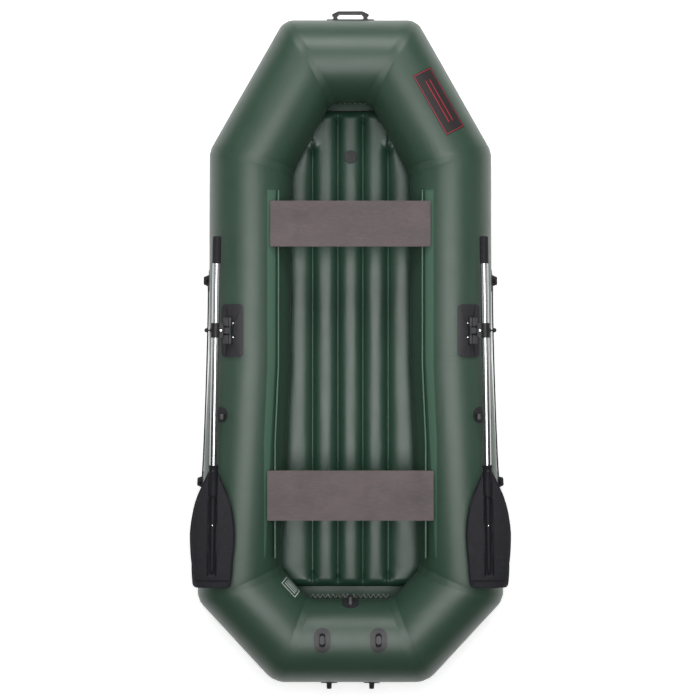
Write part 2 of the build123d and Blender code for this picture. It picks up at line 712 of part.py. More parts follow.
def oarlock_collar():
    half = COLLAR_LENGTH / 2
    sleeve = rod_y(OAR_X, OAR_Z, COLLAR_R, LOCK_Y - half, LOCK_Y + half)
    ear = box_between((EAR_INNER_X, OAR_X), (LOCK_Y - half, LOCK_Y + half), EAR_Z)
    ear = fillet(ear.edges().filter_by(Axis.Z).sort_by(Axis.X)[:2], radius=8)
    boss = rod_x(LOCK_Y, OAR_Z, 7, OAR_X + COLLAR_R - 2, OAR_X + COLLAR_R + 2.5)
    collar = sleeve + ear + boss
    collar -= rod_y(OAR_X, OAR_Z, SHAFT_R + RUNNING, LOCK_Y - half - 1, LOCK_Y + half + 1)
    collar -= rod_z(BOLT_X, LOCK_Y, BOLT_R, EAR_Z[0] - 1, EAR_Z[1] + 1)
    return collar - rod_x(LOCK_Y, OAR_Z, BOLT_R + RUNNING, OAR_X + SHAFT_R, OAR_X + COLLAR_R + 5)


def swivel_bolt():
    """The upright bolt, with a domed head above the ear and a nut under the arm."""
    under = ARM_TOP_Z - ARM_T
    shank = rod_z(BOLT_X, LOCK_Y, BOLT_R, under - 8, EAR_Z[1])
    head = rod_z(BOLT_X, LOCK_Y, BOLT_R + 2.5, EAR_Z[1], EAR_Z[1] + 4)
    head = fillet(head.edges().group_by(Axis.Z)[-1], radius=2)
    nut_low = under - 6
    nut = Pos(BOLT_X, LOCK_Y, nut_low) * extrude(RegularPolygon(BOLT_R + 2.8, 6), amount=5.7)
    return shank + head + nut


def clamp_knob():
    ball = Pos(KNOB_X, LOCK_Y, OAR_Z) * Sphere(KNOB_R)
    neck = rod_x(LOCK_Y, OAR_Z, BOLT_R, OAR_X + SHAFT_R + 0.5, KNOB_X)
    return ball + neck


def make_oarlocks():
    save_pair("oarlock_pad", oarlock_pad())
    save_both("oarlock_hinge_pins", [hinge_pin()])
    save_both("oarlock_screws", lock_screws())
    save_pair("oarlock_arm", oarlock_arm())
    save_pair("oarlock_collar", splayed(oarlock_collar()))
    save_pair("oarlock_swivel_bolt", swivel_bolt())
    save_pair("oarlock_clamp_knob", splayed(clamp_knob()))


# ---------------------------------------------------------------- oar rests
def oar_rest():
    """A round glued pad with a tall inner prong and a low outer lip."""
    axis_x = tube_axis_x(SIDE_AFT, REST_Y)
    lean = degrees(atan2(sqrt(SKIN_R**2 - (REST_X - axis_x) ** 2), REST_X - axis_x))
    frame = fitting_frame(SIDE_AFT, station(SIDE_AFT, REST_Y), lean)
    disc = frame * Pos(0, 0, SKIN_R) * Cylinder(REST_PAD_R, 60)
    pad = disc & ring(SIDE_AFT, SKIN_R, SKIN_R + REST_PAD_T)
    y = (REST_Y - REST_WIDTH / 2, REST_Y + REST_WIDTH / 2)
    inner = box_between(REST_INNER, y, (REST_FLOOR_Z[0], REST_INNER_TOP_Z))
    inner = fillet(inner.edges().group_by(Axis.Z)[-1].filter_by(Axis.Y), radius=5)
    floor = box_between((REST_INNER[0], REST_OUTER[1]), y, REST_FLOOR_Z)
    outer = box_between(REST_OUTER, y, (REST_FLOOR_Z[0], REST_OUTER_TOP_Z))
    outer = fillet(outer.edges().group_by(Axis.Z)[-1].filter_by(Axis.Y), radius=2.5)
    post = box_between((REST_INNER[0], REST_X + 14), y, (280, REST_FLOOR_Z[1]))
    return pad + ((inner + floor + outer + post) - ring(SIDE_AFT, 0, SKIN_R))


def tube_axis_x(i, y):
    point = axis_point(i) + (axis_point(i + 1) - axis_point(i)) * (station(i, y) / panel_length(i))
    return point.X


# ---------------------------------------------------------------- eyes
def eye(i, along, elevation, turn=0):
    """A stadium pad bent to the tube, with a tapered loop.

    Its hole runs along the tube, or round it where the eye is turned by 90 degrees.
    """
    frame = fitting_frame(i, along, elevation) * Rot(0, 0, turn)
    pad_w, pad_l, pad_t = EYE_PAD
    stadium = SlotOverall(pad_l, pad_w, rotation=90)
    blank = frame * Pos(0, 0, SKIN_R - pad_w / 2) * extrude(stadium, amount=pad_w)
    pad = blank & ring(i, SKIN_R, SKIN_R + pad_t, along - pad_l, along + pad_l)
    foot = frame * Pos(0, 0, SKIN_R - EYE_ROOT) * RectangleRounded(*EYE_BASE, radius=EYE_BASE_R)
    crown = frame * Pos(0, 0, SKIN_R + EYE_H) * RectangleRounded(*EYE_TOP, radius=EYE_TOP_R)
    loop = loft([foot, crown]) - ring(i, 0, SKIN_R, along - pad_l, along + pad_l)
    hole = frame * Pos(0, 0, SKIN_R + EYE_HOLE_H) * Rot(0, 90, 0) * Cylinder(EYE_HOLE_R, pad_l)
    return pad + loop - hole


def make_eyes():
    middle = panel_length(STERN) / 2
    stern_eyes = [eye(STERN, middle, STERN_INNER_EYE_DEG)]
    for side in (-1, 1):
        stern_eyes.append(eye(STERN, middle + side * STERN_TOP_EYE_X, STERN_TOP_EYE_DEG))
        stern_eyes.append(eye(STERN, middle + side * STERN_FACE_EYE_X, 0))
    save("stern_eyes", Compound(stern_eyes))
    front = eye(SIDE_FORE, station(SIDE_FORE, LIFELINE_FRONT_Y), LIFELINE_EYE_DEG, turn=90)
    aft = eye(SIDE_AFT, station(SIDE_AFT, LIFELINE_AFT_Y), LIFELINE_EYE_DEG, turn=90)
    save_both("lifeline_eyes", [front, aft])


# ---------------------------------------------------------------- lifelines
def rope_in_eye(i, y):
    """The rope's tip above a lifeline eye's hole, and the point below where it bends away."""
    frame = fitting_frame(i, station(i, y), LIFELINE_EYE_DEG)
    middle = frame.origin + frame.z_dir * (SKIN_R + EYE_HOLE_H)
    upward = frame.y_dir if frame.y_dir.Z > 0 else -frame.y_dir
    return [middle + upward * distance for distance in ROPE_IN_EYE]


def rope_route():
    """Down through the front eye, along the side in a shallow sag and up through the aft eye."""
    front = rope_in_eye(SIDE_FORE, LIFELINE_FRONT_Y)
    aft = rope_in_eye(SIDE_AFT, LIFELINE_AFT_Y)
    middle = (front[1] + aft[1]) / 2
    reach = (front[1] - aft[1]) / 2
    reach = reach * (1 - ROPE_BEND / reach.length)
    hanging = []
    for way in ROPE_STATIONS + (0.0,) + tuple(-s for s in reversed(ROPE_STATIONS)):
        point = middle + reach * way
        rise = ROPE_RISE * way**2 + ROPE_HOOK * way**6
        hanging.append(Vector(point.X, point.Y, ROPE_LOW_Z + rise))
    return front + hanging + [aft[1], aft[0]]


def arc_radii(route):
    """As large an arc at each corner as the two runs beside it allow."""
    radii = []
    for a, b, c in zip(route, route[1:], route[2:]):
        half_turn = (b - a).get_angle(c - b) / 2
        shorter = min((b - a).length, (c - b).length)
        radii.append(0.45 * shorter / tan(radians(half_turn)))
    return radii


def make_lifelines():
    route = rope_route()
    radii = arc_radii(route)
    path = FilletPolyline(*route, radius=radii)
    start = Plane(origin=path @ 0, z_dir=path % 0)
    rope = sweep(start * Circle(ROPE_D / 2), path=path)
    expected = pi * (ROPE_D / 2) ** 2 * path.length
    print("lifeline length", round(path.length, 1), "volume ratio", round(rope.volume / expected, 4))
    print("lifeline radii", [round(r) for r in radii])
    save_pair("lifeline", rope)
    save_both("lifeline_knots", [knot(*route[:2]), knot(*route[:-3:-1])])


def knot(tip, inner):
    """A stopper knot, flat where the rope enters it."""
    away = (tip - inner).normalized()
    ball = Pos(*(tip + away * (KNOT_R * 0.7))) * Sphere(KNOT_R)
    return split(ball, bisect_by=Plane(origin=tip, z_dir=away), keep=Keep.TOP)


# ---------------------------------------------------------------- bow handle, valves, patches
def make_bow_handle():
    pad = tube_patch(BOW, panel_length(BOW) / 2 - HANDLE_PAD_HALF, 2 * HANDLE_PAD_HALF,
                     -HANDLE_PAD_DEG, HANDLE_PAD_DEG, HANDLE_PAD_T)
    bow_y = PLAN_STARBOARD[0][1]
    half = [(x, bow_y + rise) for x, rise in HANDLE_HALF]
    other = [(-x, y) for x, y in reversed(half[1:-1])]
    grip = prism(half + other, TUBE_Z - HANDLE_H / 2, TUBE_Z + HANDLE_H / 2)
    grip = fillet(grip.edges().filter_by(Axis.Z), radius=2.5)
    grip -= ring(BOW, 0, SKIN_R + HANDLE_PAD_T)
    save("bow_handle_pad", pad)
    save("bow_handle_grip", grip)


def make_floor_valve():
    base_z = CELL_CROWN_Z
    flange = rod_z(0, FLOOR_VALVE_Y, FLOOR_VALVE_R, base_z, base_z + FLOOR_VALVE_H)
    flange = fillet(flange.edges().group_by(Axis.Z)[-1], radius=2)
    barrel = rod_z(0, FLOOR_VALVE_Y, FLOOR_WELL_R - 0.5, base_z - 24, base_z)
    well = rod_z(0, FLOOR_VALVE_Y, FLOOR_CAP_R + 0.5, base_z - 20, base_z + 10)
    save("floor_valve_body", flange + barrel - well)
    plug = rod_z(0, FLOOR_VALVE_Y, FLOOR_CAP_R, base_z - 12, base_z + FLOOR_VALVE_H - 1)
    slot = Pos(0, FLOOR_VALVE_Y, base_z + FLOOR_VALVE_H) * Rot(0, 0, 45) * Box(22, 5, 6)
    save("floor_valve_cap", plug - slot)


def make_hull_valves():
    """Air valves on the outer faces of the bow and stern tubes, low down."""
    bodies = []
    for name, i, side in (("bow", BOW, 1), ("stern", STERN, -1)):
        frame = fitting_frame(i, panel_length(i) / 2 + side * HULL_VALVE_X, HULL_VALVE_DEG)
        disc = frame * Pos(0, 0, SKIN_R) * Cylinder(HULL_VALVE_R, 50)
        flange = disc & ring(i, SKIN_R, SKIN_R + 3)
        neck = frame * Pos(0, 0, SKIN_R + 3) * Cylinder(HULL_VALVE_CAP_R - 4, 14)
        bodies.append((neck - ring(i, 0, SKIN_R)) + flange)
        cap_frame = frame * Pos(0, 0, SKIN_R + HULL_VALVE_CAP_Z)
        cap = cap_frame * Cylinder(HULL_VALVE_CAP_R, HULL_VALVE_CAP_H)
        for turn in range(HULL_VALVE_GROOVES):
            spin = Rot(0, 0, turn * 360 / HULL_VALVE_GROOVES)
            cap -= cap_frame * spin * Pos(HULL_VALVE_CAP_R + 1, 0, 0) * Cylinder(2, 2 * HULL_VALVE_CAP_H)
        save(f"hull_valve_{name}_cap", cap)
    save("hull_valve_bodies", Compound(bodies))


def make_patches():
    patch = tube_patch(BOW_DIAGONAL, BOW_PATCH_START, BOW_PATCH_LENGTH, *BOW_PATCH_DEG, PATCH_T)
    save("bow_patch", patch)
    plate = tube_patch(STERN_DIAGONAL_PORT, PLATE_START, PLATE_LENGTH, *PLATE_DEG, PATCH_T)
    save("info_plate", plate)


os.makedirs("parts", exist_ok=True)
make_hull()
make_floor()
make_rails()
make_seats()
make_oars()
make_oarlocks()
save_both("oar_rests", [oar_rest()])
make_eyes()
make_lifelines()
make_bow_handle()
make_floor_valve()
make_hull_valves()
make_patches()
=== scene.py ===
"""Looks of the inflatable rowing boat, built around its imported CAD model.

Metres throughout. +Y points to the bow, +X to starboard and +Z up, as in the CAD.
"""

import json
import math

import bmesh
import bpy
from mathutils import Matrix, Vector, noise


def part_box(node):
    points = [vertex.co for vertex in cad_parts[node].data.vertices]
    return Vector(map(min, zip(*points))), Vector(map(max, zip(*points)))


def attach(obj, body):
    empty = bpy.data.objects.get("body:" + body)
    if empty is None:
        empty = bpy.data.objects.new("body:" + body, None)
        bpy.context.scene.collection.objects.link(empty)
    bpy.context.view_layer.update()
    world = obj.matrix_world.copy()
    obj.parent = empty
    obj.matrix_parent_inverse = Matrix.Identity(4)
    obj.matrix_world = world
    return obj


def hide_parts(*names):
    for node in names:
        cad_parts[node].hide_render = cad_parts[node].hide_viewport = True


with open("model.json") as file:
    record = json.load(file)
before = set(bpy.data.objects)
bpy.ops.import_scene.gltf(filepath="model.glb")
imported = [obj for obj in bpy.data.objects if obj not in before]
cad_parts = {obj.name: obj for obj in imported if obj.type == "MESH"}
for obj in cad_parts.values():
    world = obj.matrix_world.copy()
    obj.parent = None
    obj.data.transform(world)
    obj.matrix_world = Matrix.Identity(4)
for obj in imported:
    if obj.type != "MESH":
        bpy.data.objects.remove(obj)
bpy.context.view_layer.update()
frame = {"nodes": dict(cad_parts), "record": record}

# ---------------------------------------------------------------- driving dimensions
# Hull: outer corners of the starboard half from bow to stern, and how far each is rounded
PLAN_STARBOARD = [(0.282, 1.400), (0.597, 0.846), (0.5985, -0.029), (0.650, -1.048), (0.324, -1.400)]
CORNER_ROUND = [0.042, 0.024, 0.012, 0.039, 0.051]
INNER_ROUND = 0.012
SKIN_R = 0.173
TUBE_R = 0.1724
TAPE_HALF_WIDTH = 0.020
TAPE_PROUD = 0.0006
NEAR_CORNER = 0.060
AROUND = 144

# Hull skin's relief: the pinch at a seam, the creases inside a corner, and two swells of the cloth
PINCH_DEPTH = 0.0016
PINCH_SPREAD = 0.016
CREASE_DEPTH = 0.0040
CREASE_SPREAD = 0.05
CREASE_SCALES = (14, 5)
SWELL = 0.0007
SWELL_SCALE = 4.3
FINE_SWELL = 0.0002
FINE_SWELL_SCALE = 17

# Rails: the height above which only their beads reach, and above which their cloth gets a painted highlight
RAIL_BEAD_Z = 0.306

# Floor mat
MAT_INSET = 0.305
CELL_SEAMS = (0.054, 0.163)
CELL_CROWN_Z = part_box("floor_mat_top")[1].z
CELL_SEAM_Z = 0.046
MAT_BASE_Z = 0.016
CELL_ENDS = (-1.024, 1.047)
END_ROUND = 0.045
SEAM_ENDS = {0.054: (-0.986, 1.003), 0.163: (-0.972, 0.868)}
SEAM_FADE = 0.050
ARCH_POWER = 2.3
FULL_CELL_WIDTH = 0.08
WELD_R = 0.0011
WELD_PROUD = 0.0005
WELD_END_GAP = 0.01

# Folds where the floor's seams stop: their leans in radians, sizes, and how far from a seam's end they show
FOLD_LEANS = (-0.75, 0.1, 0.9)
FOLD_REACH = 0.052
FOLD_LOSS_PER_LEAN = 0.018
FOLD_LEAD = 0.012
FOLD_DEPTH = 0.0032
FOLD_WIDTH = 0.0065
FOLD_FADE = 0.7
FOLD_ZONE = (0.09, 0.12)

# Ripples beside the floor's seams, and the slow swell of its cells
RIPPLE = 0.0013
RIPPLE_SPREAD = 0.014
RIPPLE_SCALE = 60
CELL_SWELL = 0.0010
CELL_SWELL_SCALE = 7

# Oars
OAR_X = 0.551
BOLT_X = 0.528
LOCK_Y = 0.085
SPLAY = math.radians(0.9)
OAR_Z = 0.390
GRIP_R = 0.018
BLADE_OUTLINE = [(0.020, -0.492), (0.055, -0.570), (0.079, -0.643), (0.0925, -0.746), (0.084, -0.870),
                 (0.076, -0.968)]
BLADE_CORNER_R = 0.016
BLADE_HALF_T = 0.002
LIP_Y = -0.939
RIVET_Y = -0.712
RIVET_RISE = 0.0105
RIVET_R = 0.0038
RIVET_H = 0.0018
RIB_END_Y = -0.917
RIB_START_Y = -0.578
RIB_LENGTH = 0.339
RIB_R = 0.0118
RIB_TAPER = 0.0022
RIB_ROUND_FROM = 0.93
RIB_LEAST_R = 0.0004

# Blade's surface: droop of its edges, rim, lip inside the tip, and the ridges beside the gutter
BLADE_BULGE = 0.004
BLADE_SAG = 0.0045
SAG_START_Y = -0.49
SAG_RUN = 0.2
RIM_RISE = 0.0024
RIM_INSET = 0.0035
RIM_SPREAD = 0.0018
LIP_STEP = 0.0018
LIP_SOFTNESS = 0.0009
LIP_MARGIN = 0.012
RIDGE_RISE = 0.0030
RIDGE_X = 0.0165
RIDGE_SPREAD = 0.0020
RIDGE_START_Y = -0.60
GUTTER_DEPTH = 0.0022
GUTTER_HALF_WIDTH = 0.0145
GUTTER_SOFTNESS = 0.0006
GUTTER_START_Y = -0.596
TIP_THICKNESS = 0.65
TIP_RUN = 0.05

# Grip: its bore, its first edge, its finger rings and its rounded end
GRIP_BORE_R = 0.0162
GRIP_EDGE_R = 0.0012
GRIP_EDGE_LENGTH = 0.002
GRIP_RINGS = 14
GRIP_RING_H = 0.00045
GRIP_RING_SINK = 0.0004
GRIP_RINGED_LESS = 0.012
GRIP_END_R = 0.007
GRIP_END_FLAT_R = 0.004

# Lifeline rope: through the holes of its two eyes, hanging in an upright plane between them
ROPE_D = 0.006
EYE_PLACES = ((1, 0.300), (2, -0.566))
EYE_DEG = -10.0
EYE_HOLE_H = 0.016
ROPE_IN_EYE = (0.0115, -0.0155)
ROPE_BEND = 0.008
ROPE_LOW_Z = 0.066
ROPE_RISE = 0.030
ROPE_HOOK = 0.018
ROPE_STATIONS = (1.0, 0.96, 0.9, 0.77, 0.58, 0.38, 0.19)

# Patches: distance along their panel, length, and angles above the outboard side
BOW_PATCH = (0.117, 0.284, 51.5, 84.0)
BOW_PATCH_PANEL = 0
PLATE = (0.133, 0.085, 147.5, 170.0)
PLATE_PANEL = 5
PATCH_RISES = (-0.0006, 0.0008)
PRINT_RISES = (0.0006, 0.0011)
PATCH_BORDER = (0.004, 0.0022)
PLATE_BORDER = (0.0015, 0.003)
STRIPE_INSET = 0.045
STRIPE_OFFSETS_DEG = (-3.2, 3.2)
STRIPE_HALF_DEG = 0.6
LINE_INSET = 0.012
LINE_SHARES = (0.3, 0.5, 0.7)
LINE_HALF_DEG = 0.7

SIDES = (("starboard", 1), ("port", -1))
UP = Vector((0, 0, 1))


# ---------------------------------------------------------------- mesh helpers
def mesh_piece(name, points, faces, materials, smooth=True, weld=0.0):
    """A mesh object from points and faces, with its normals turned outward."""
    mesh = bpy.data.meshes.new(name)
    mesh.from_pydata([tuple(p) for p in points], [], faces)
    work = bmesh.new()
    work.from_mesh(mesh)
    if weld:
        bmesh.ops.remove_doubles(work, verts=work.verts, dist=weld)
        bmesh.ops.dissolve_degenerate(work, edges=work.edges, dist=weld)
    bmesh.ops.recalc_face_normals(work, faces=work.faces)
    for face in work.faces:
        face.smooth = smooth
    work.to_mesh(mesh)
    work.free()
    for item in materials:
        mesh.materials.append(item)
    piece = bpy.data.objects.new(name, mesh)
    bpy.context.scene.collection.objects.link(piece)
    return piece


def grid_faces(rows, columns, close_rows=False, close_columns=False):
    """Quads of a grid whose points are stored row by row."""
    faces = []
    for r in range(rows if close_rows else rows - 1):
        for c in range(columns if close_columns else columns - 1):
            r2 = (r + 1) % rows
            c2 = (c + 1) % columns
            faces.append((r * columns + c, r * columns + c2, r2 * columns + c2, r2 * columns + c))
    return faces


def plate_faces(rows, columns):
    """A closed plate: a top grid, a bottom grid stored after it, and the rim between them."""
    faces = grid_faces(rows, columns)
    under = rows * columns
    faces += [tuple(under + v for v in reversed(face)) for face in grid_faces(rows, columns)]
    rim = list(range(columns))
    rim += [r * columns + columns - 1 for r in range(1, rows)]
    rim += [(rows - 1) * columns + c for c in range(columns - 2, -1, -1)]
    rim += [r * columns for r in range(rows - 2, 0, -1)]
    for a, b in zip(rim, rim[1:] + rim[:1]):
        faces.append((a, b, under + b, under + a))
    return faces


def lathe_y(name, profile, x, z, materials, around=48):
    """A turned piece about an axis along Y: the profile is (radius, y) from end to end."""
    points = []
    for radius, y in profile:
        for k in range(around):
            angle = 2 * math.pi * k / around
            points.append((x + radius * math.cos(angle), y, z + radius * math.sin(angle)))
    faces = grid_faces(len(profile), around, close_columns=True)
    for end in (0, len(profile) - 1):
        faces.append(tuple(end * around + k for k in range(around)))
    piece = mesh_piece(name, points, faces, materials)
    return soften(piece)


def soften(piece, angle=35.0):
    """Keep edges sharper than an angle crisp while the rest shades smoothly."""
    for edge in piece.data.edges:
        edge.use_edge_sharp = False
    work = bmesh.new()
    work.from_mesh(piece.data)
    for edge in work.edges:
        if len(edge.link_faces) == 2 and edge.calc_face_angle(0.0) > math.radians(angle):
            edge.smooth = False
    work.to_mesh(piece.data)
    work.free()
    return piece


def interpolate(table, y):
    """Straight-line value between the (value, y) pairs of a table that runs down in y."""
    for (a, ya), (b, yb) in zip(table, table[1:]):
        if y >= yb:
            t = (ya - y) / (ya - yb)
            return a + (b - a) * t
    return table[-1][0]


def bell(distance, spread):
    """One at no distance, falling away smoothly over the spread."""
    return math.exp(-(distance / spread) ** 2)


# ---------------------------------------------------------------- hull geometry
def right_normal(a, b):
    length = math.hypot(b[0] - a[0], b[1] - a[1])
    return Vector(((b[1] - a[1]) / length, (a[0] - b[0]) / length, 0))


def mirrored(points):
    return points + [(-x, y) for x, y in reversed(points)]


PLAN = mirrored(PLAN_STARBOARD)
ROUND = CORNER_ROUND + CORNER_ROUND[::-1]
COUNT = len(PLAN)
INWARD = [right_normal(PLAN[i], PLAN[(i + 1) % COUNT]) for i in range(COUNT)]
ALONG = [(Vector((*PLAN[(i + 1) % COUNT], 0)) - Vector((*PLAN[i], 0))).normalized() for i in range(COUNT)]


def mitre_step(i):
    """Inward move of corner i for each metre that its two sides move inward."""
    a = INWARD[i - 1]
    b = INWARD[i]
    return (a + b) / (1 + a.dot(b))


AXIS = [Vector((*PLAN[i], SKIN_R)) + mitre_step(i) * SKIN_R for i in range(COUNT)]


def skin_point(i, angle, s):
    """Where the skin is near corner i: angle 0 is outboard, 90 degrees up; s runs along the tube."""
    corner = AXIS[i] - mitre_step(i) * (TUBE_R * math.cos(angle)) + UP * (TUBE_R * math.sin(angle))
    rounding = INNER_ROUND + (ROUND[i] - INNER_ROUND) * (1 + math.cos(angle)) / 2
    before = ALONG[i - 1]
    after = ALONG[i]
    if s <= -rounding:
        return corner + before * s
    if s >= rounding:
        return corner + after * s
    t = (s + rounding) / (2 * rounding)
    start = corner - before * rounding
    end = corner + after * rounding
    return start * (1 - t) ** 2 + corner * (2 * t * (1 - t)) + end * t ** 2


def skin_normal(i, angle, s):
    """Outward direction of the skin near corner i."""
    weight = min(max(0.5 + s / (2 * NEAR_CORNER), 0), 1)
    side = -(INWARD[i - 1] * (1 - weight) + INWARD[i] * weight).normalized()
    return side * math.cos(angle) + UP * math.sin(angle)


def skin_relief(point, angle, s):
    """Small shape of the blown-up fabric: pinched seams, slack creases inside the corners."""
    pinch = -PINCH_DEPTH * bell(s, PINCH_SPREAD)
    inner = min(max((-math.cos(angle) - 0.1) / 0.7, 0), 1) * max(math.sin(angle), 0) ** 0.5
    slack = noise.noise(point * CREASE_SCALES[0]) * noise.noise(point * CREASE_SCALES[1])
    creases = CREASE_DEPTH * inner * bell(s, CREASE_SPREAD) * slack
    swell = SWELL * noise.noise(point * SWELL_SCALE) + FINE_SWELL * noise.noise(point * FINE_SWELL_SCALE)
    return pinch + creases + swell


def skin_ring(i, s):
    points = []
    for k in range(AROUND):
        angle = 2 * math.pi * k / AROUND
        point = skin_point(i, angle, s)
        points.append(point + skin_normal(i, angle, s) * skin_relief(point, angle, s))
    return points


def straight_ring(i, t):
    """Ring part of the way along panel i, between its two corner zones."""
    after = (i + 1) % COUNT
    points = []
    for k in range(AROUND):
        angle = 2 * math.pi * k / AROUND
        a = skin_point(i, angle, NEAR_CORNER)
        b = skin_point(after, angle, -NEAR_CORNER)
        point = a.lerp(b, t)
        away = min((point - a).length, (b - point).length) + NEAR_CORNER
        normal = -INWARD[i] * math.cos(angle) + UP * math.sin(angle)
        points.append(point + normal * skin_relief(point, angle, away))
    return points


def make_hull(skin):
    steps = [-1.0, -0.8, -0.62, -0.46, -0.32, -0.2, -0.1, 0.0, 0.1, 0.2, 0.32, 0.46, 0.62, 0.8, 1.0]
    points = []
    rings = 0
    for i in range(COUNT):
        for step in steps:
            points += skin_ring(i, step * NEAR_CORNER)
            rings += 1
        length = (AXIS[(i + 1) % COUNT] - AXIS[i]).length
        pieces = int(length / 0.03)
        for j in range(1, pieces):
            points += straight_ring(i, j / pieces)
            rings += 1
    faces = grid_faces(rings, AROUND, close_rows=True, close_columns=True)
    hull = mesh_piece("hull_skin", points, faces, [skin])
    panels = [n for n in frame["nodes"] if n.startswith("hull_") and "valve" not in n]
    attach(hull, "hull")
    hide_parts(*panels)
    return hull


def make_tapes(skin):
    """A band of tape round the tube over every seam, a little proud of the skin."""
    section = [(-1.0, -0.4), (-1.0, 1.0), (-0.5, 1.0), (0.0, 1.0), (0.5, 1.0), (1.0, 1.0), (1.0, -0.4)]
    points = []
    faces = []
    for i in range(COUNT):
        base = len(points)
        for across, rise in section:
            s = across * TAPE_HALF_WIDTH
            for k in range(AROUND):
                angle = 2 * math.pi * k / AROUND
                point = skin_point(i, angle, s)
                height = skin_relief(point, angle, s) + rise * TAPE_PROUD
                points.append(point + skin_normal(i, angle, s) * height)
        band = grid_faces(len(section), AROUND, close_rows=True, close_columns=True)
        faces += [tuple(base + v for v in face) for face in band]
    tapes = soften(mesh_piece("hull_seam_tapes", points, faces, [skin]))
    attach(tapes, "hull")
    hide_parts("seam_tapes")


# ---------------------------------------------------------------- floor
def mat_half_width(y):
    """Half the mat's width at a place along the boat."""
    outline = [Vector((*p, 0)) + mitre_step(i) * MAT_INSET for i, p in enumerate(PLAN_STARBOARD)]
    return interpolate([(p.x, p.y) for p in outline], y)


def end_distance(y):
    """Distance from the nearer of the mat's two ends."""
    return max(min(CELL_ENDS[1] - y, y - CELL_ENDS[0]), 0)


def crease(x, y, start, end, depth, width):
    """Depth of a fold that runs between two points and dies out at its far end."""
    run = Vector(end) - Vector(start)
    t = min(max((Vector((x, y)) - Vector(start)).dot(run) / run.length_squared, 0), 1)
    off = (Vector((x, y)) - (Vector(start) + run * t)).length
    return depth * (1 - FOLD_FADE * t) * bell(off, width)


def seam_end_folds():
    """Folds that fan out where each seam stops, as start, end, depth and width."""
    folds = []
    for seam, (stern, bow) in SEAM_ENDS.items():
        for side in (-1, 1):
            for y, way in ((stern, -1), (bow, 1)):
                for lean in FOLD_LEANS:
                    reach = FOLD_REACH - FOLD_LOSS_PER_LEAN * abs(lean)
                    tip = (side * seam + reach * math.sin(lean), y + way * reach * math.cos(lean))
                    folds.append(((side * seam, y - way * FOLD_LEAD), tip, FOLD_DEPTH, FOLD_WIDTH))
    return folds


FOLDS = seam_end_folds()


def seam_strength(seam, y):
    """One where the seam is welded, fading to nothing past its ends."""
    stern, bow = SEAM_ENDS[seam]
    past = max(stern - y, y - bow, 0)
    return max(1 - past / SEAM_FADE, 0) ** 2


def mat_height(x, y, left, right):
    """Height of the mat's top at a point of the cell between two seams."""
    u = (x - left) / max(right - left, 1e-6)
    width = right - left
    seams = [abs(left), abs(right)]
    rise = []
    for gap, seam in zip((u, 1 - u), seams):
        held = seam_strength(seam, y) if seam in SEAM_ENDS else 1.0
        arch = math.sqrt(max(1 - (1 - min(gap * 2, 1)) ** ARCH_POWER, 0))
        rise.append(1 - held * (1 - arch))
    top = CELL_SEAM_Z + (CELL_CROWN_Z - CELL_SEAM_Z) * min(rise) * min(width / FULL_CELL_WIDTH, 1) ** 0.3
    edge = min(end_distance(y) / END_ROUND, 1)
    z = MAT_BASE_Z + (top - MAT_BASE_Z) * math.sqrt(max(1 - (1 - edge) ** 2, 0))
    for start, end, depth, fold_width in FOLDS:
        if abs(start[1] - y) < FOLD_ZONE[1] and abs(start[0] - x) < FOLD_ZONE[0]:
            z -= crease(x, y, start, end, depth, fold_width)
    near = min(u, 1 - u) * width
    place = Vector((x * 3, y, 0))
    ripple = RIPPLE * bell(near, RIPPLE_SPREAD) * noise.noise(place * RIPPLE_SCALE)
    return z + ripple + CELL_SWELL * noise.noise(place * CELL_SWELL_SCALE)


def make_floor(vinyl):
    """The five air cells, one grid whose columns follow the seams."""
    seams = [-1.0, -CELL_SEAMS[1], -CELL_SEAMS[0], *CELL_SEAMS, 1.0]
    splits = [26, 24, 24, 24, 26]
    rows = 470
    points = []
    for r in range(rows):
        y = CELL_ENDS[0] + (CELL_ENDS[1] - CELL_ENDS[0]) * r / (rows - 1)
        half = mat_half_width(y)
        for cell, count in enumerate(splits):
            left = max(seams[cell], -half)
            right = min(seams[cell + 1], half)
            last = 1 if cell == len(splits) - 1 else 0
            for c in range(count + last):
                x = min(max(left + (right - left) * c / count, -half), half)
                points.append((x, y, mat_height(x, y, left, max(right, left))))
    columns = sum(splits) + 1
    mat = mesh_piece("floor_mat_skin", points, grid_faces(rows, columns), [vinyl], weld=0.00002)
    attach(mat, "hull")
    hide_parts("floor_mat_top")
    for seam in CELL_SEAMS:
        for label, side in SIDES:
            stern, bow = SEAM_ENDS[seam]
            places = (stern + WELD_END_GAP, 0, bow - WELD_END_GAP)
            line = [(side * seam, y, CELL_SEAM_Z + WELD_PROUD) for y in places]
            weld = tube_curve(f"floor_weld_{label}_{round(seam * 1000)}", line, WELD_R, vinyl)
            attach(weld, "hull")


def tube_curve(name, route, radius, material_used, smooth_points=False):
    """A round line along a route, as a poly spline or a smooth NURBS one."""
    data = bpy.data.curves.new(name, "CURVE")
    data.dimensions = "3D"
    data.bevel_depth = radius
    data.bevel_resolution = 6
    data.resolution_u = 16
    data.use_fill_caps = True
    spline = data.splines.new("NURBS" if smooth_points else "POLY")
    spline.points.add(len(route) - 1)
    for point, place in zip(spline.points, route):
        point.co = (*place, 1)
    if smooth_points:
        spline.order_u = 3
        spline.use_endpoint_u = True
    data.materials.append(material_used)
    piece = bpy.data.objects.new(name, data)
    bpy.context.scene.collection.objects.link(piece)
    return piece


# ---------------------------------------------------------------- lifelines
def rope_in_eye(i, y):
    """The rope's tip above an eye's hole, and the point below where it bends away."""
    angle = math.radians(EYE_DEG)
    middle = patch_point(i, (y - AXIS[i].y) / ALONG[i].y, EYE_DEG, EYE_HOLE_H)
    upward = INWARD[i] * math.sin(angle) + UP * math.cos(angle)
    return [middle + upward * distance for distance in ROPE_IN_EYE]


